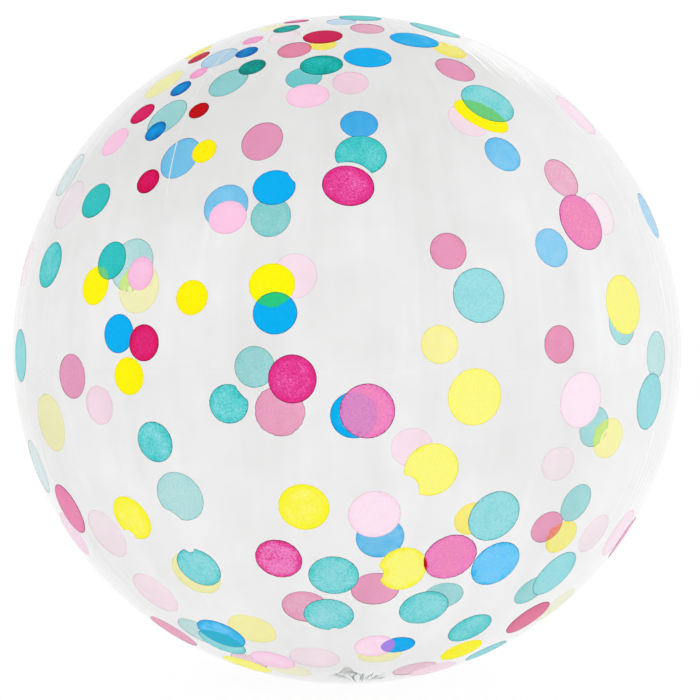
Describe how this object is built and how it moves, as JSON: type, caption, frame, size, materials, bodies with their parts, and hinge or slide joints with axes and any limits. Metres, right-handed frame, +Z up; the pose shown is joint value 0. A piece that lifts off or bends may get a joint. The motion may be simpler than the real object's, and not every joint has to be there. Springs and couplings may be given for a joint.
{
  "type": "clear bubble balloon",
  "caption": "Clear ball-shaped film balloon with a print of coloured confetti dots, tied at its base and resting on a flat ring round the tie.",
  "frame": {"origin": "on the ground, under the middle of the ball", "axes": "+Z up, away from the tied neck; +X to the right and -Y towards the viewer when the two overlapping dots are seen near the middle"},
  "size_m": [0.6, 0.6, 0.5981],
  "materials": {
    "clear_film": "clear glossy stretch film, faintly hazy",
    "ink_teal": "thin stretched print, faintly grained, lets light through",
    "ink_yellow": "thin stretched print, lets light through",
    "ink_magenta": "thin stretched print, faintly grained",
    "ink_pink": "pale milky print",
    "ink_blue": "thin stretched print, lets light through"
  },
  "bodies": {
    "root": {"balloon_film": "clear_film"}
  },
  "joints": []
}
